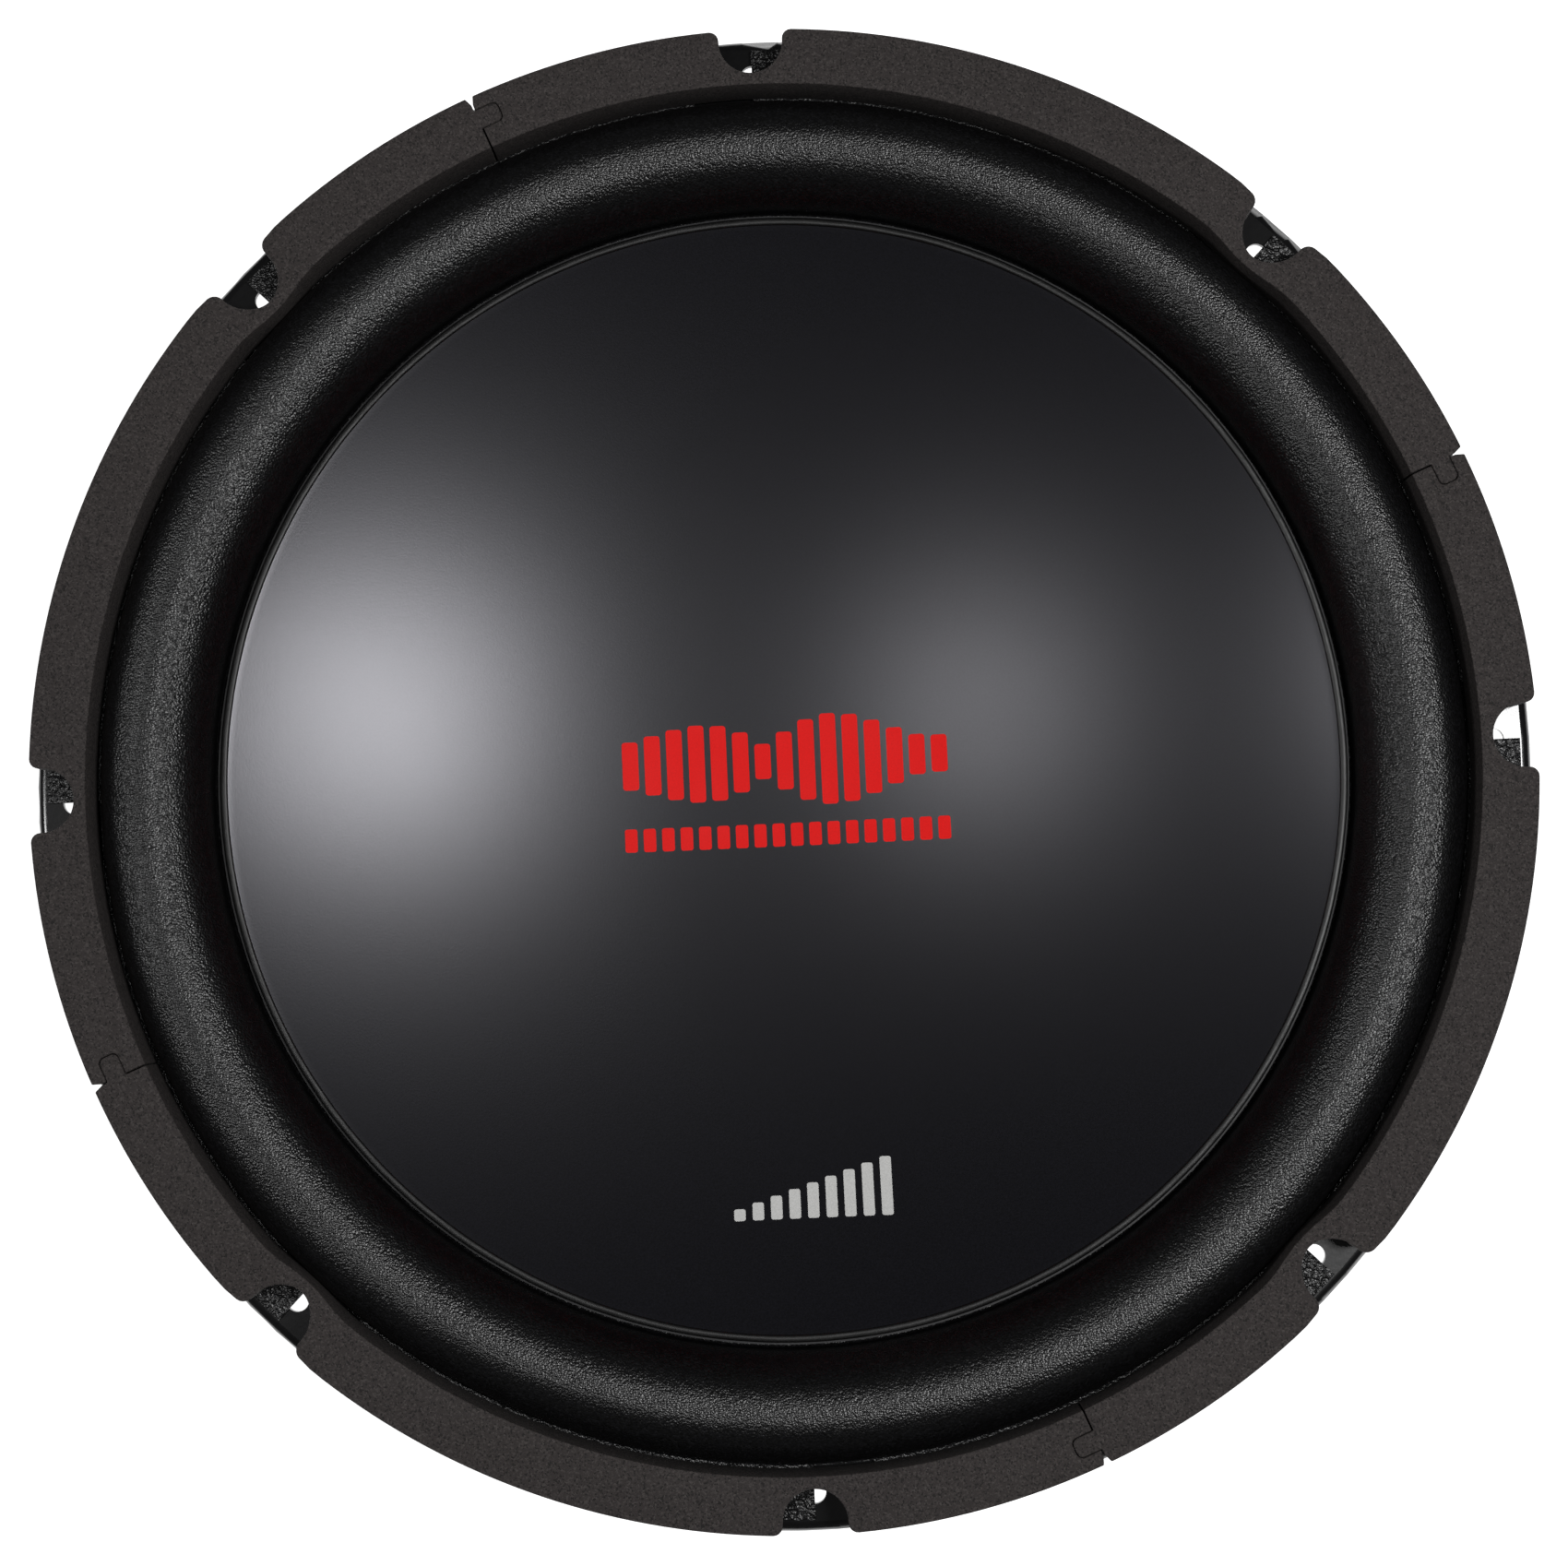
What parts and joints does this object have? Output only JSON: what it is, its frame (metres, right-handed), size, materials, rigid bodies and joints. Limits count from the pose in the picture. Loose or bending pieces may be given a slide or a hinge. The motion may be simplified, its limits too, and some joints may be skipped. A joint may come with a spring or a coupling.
{
  "type": "car subwoofer speaker",
  "caption": "Round car subwoofer driver with a stamped steel basket, foam roll surround, concave dust cap, segmented foam mounting gasket and push terminals.",
  "frame": {"origin": "centre of the mounting hole circle, on the plane of the baffle that the rolled edge of the flange sits on", "axes": "+Z along the axis the cone moves on, towards the listener; +X through a mounting hole"},
  "size_m": [0.3915, 0.3916, 0.1675],
  "materials": {
    "basket_paint": "gloss",
    "gasket_foam": "matte",
    "surround_foam": "matte",
    "spider_cloth": "matte",
    "zinc_steel": "satin",
    "ferrite": "matte",
    "screen_steel": "satin",
    "screw_steel": "satin",
    "cone_plastic": "matte",
    "cap_plastic": "satin",
    "former_film": "gloss",
    "copper_wire": "satin",
    "collar_paper": "matte",
    "lead_glue": "gloss",
    "fibre_board": "matte",
    "block_plastic": "satin",
    "contact_metal": "satin",
    "rivet_metal": "satin",
    "post_red": "gloss",
    "post_black": "gloss",
    "spring_steel": "satin",
    "tinsel": "satin"
  },
  "bodies": {
    "frame": {"basket": "basket_paint", "button_spring_negative_1": "spring_steel", "button_spring_negative_2": "spring_steel", "button_spring_positive_1": "spring_steel", "button_spring_positive_2": "spring_steel", "contacts_1": "contact_metal", "contacts_2": "contact_metal", "gasket_segment_1": "gasket_foam", "gasket_segment_2": "gasket_foam", "gasket_segment_3": "gasket_foam", "gasket_segment_4": "gasket_foam", "magnet": "ferrite", "seat_screws": "screw_steel", "spider": "spider_cloth", "surround": "surround_foam", "terminal_base_1": "fibre_board", "terminal_base_2": "fibre_board", "terminal_block_1": "block_plastic", "terminal_block_2": "block_plastic", "terminal_rivets": "rivet_metal", "tinsel_lead_negative_1": "tinsel", "tinsel_lead_negative_2": "tinsel", "tinsel_lead_positive_1": "tinsel", "tinsel_lead_positive_2": "tinsel", "top_plate": "zinc_steel", "vent_screen": "screen_steel", "yoke": "zinc_steel"},
    "cone_assembly": {"cone": "cone_plastic", "dust_cap": "cap_plastic", "coil_former": "former_film", "winding_inner": "copper_wire", "winding_outer": "copper_wire", "former_collar": "collar_paper", "lead_joints": "lead_glue"},
    "push_negative_1": {"button_negative_1": "post_black"},
    "push_positive_1": {"button_positive_1": "post_red"},
    "push_negative_2": {"button_negative_2": "post_black"},
    "push_positive_2": {"button_positive_2": "post_red"}
  },
  "joints": [
    {"name": "cone_travel", "type": "slide", "parent": "frame", "child": "cone_assembly", "axis": [0, 0, 1], "range_m": [-0.01, 0.01], "stiffness_N_per_m": 4000, "deforming": ["surround", "spider", "tinsel_lead_negative_1", "tinsel_lead_negative_2", "tinsel_lead_positive_1", "tinsel_lead_positive_2"]},
    {"name": "press_negative_1", "type": "slide", "parent": "frame", "child": "push_negative_1", "axis": [-0.6261, -0.2594, 0.7353], "range_m": [0, 0.0035], "stiffness_N_per_m": 600, "springref_m": -0.003, "deforming": ["button_spring_negative_1"]},
    {"name": "press_positive_1", "type": "slide", "parent": "frame", "child": "push_positive_1", "axis": [-0.6261, -0.2594, 0.7353], "range_m": [0, 0.0035], "stiffness_N_per_m": 600, "springref_m": -0.003, "deforming": ["button_spring_positive_1"]},
    {"name": "press_negative_2", "type": "slide", "parent": "frame", "child": "push_negative_2", "axis": [0.6261, 0.2594, 0.7353], "range_m": [0, 0.0035], "stiffness_N_per_m": 600, "springref_m": -0.003, "deforming": ["button_spring_negative_2"]},
    {"name": "press_positive_2", "type": "slide", "parent": "frame", "child": "push_positive_2", "axis": [0.6261, 0.2594, 0.7353], "range_m": [0, 0.0035], "stiffness_N_per_m": 600, "springref_m": -0.003, "deforming": ["button_spring_positive_2"]}
  ]
}
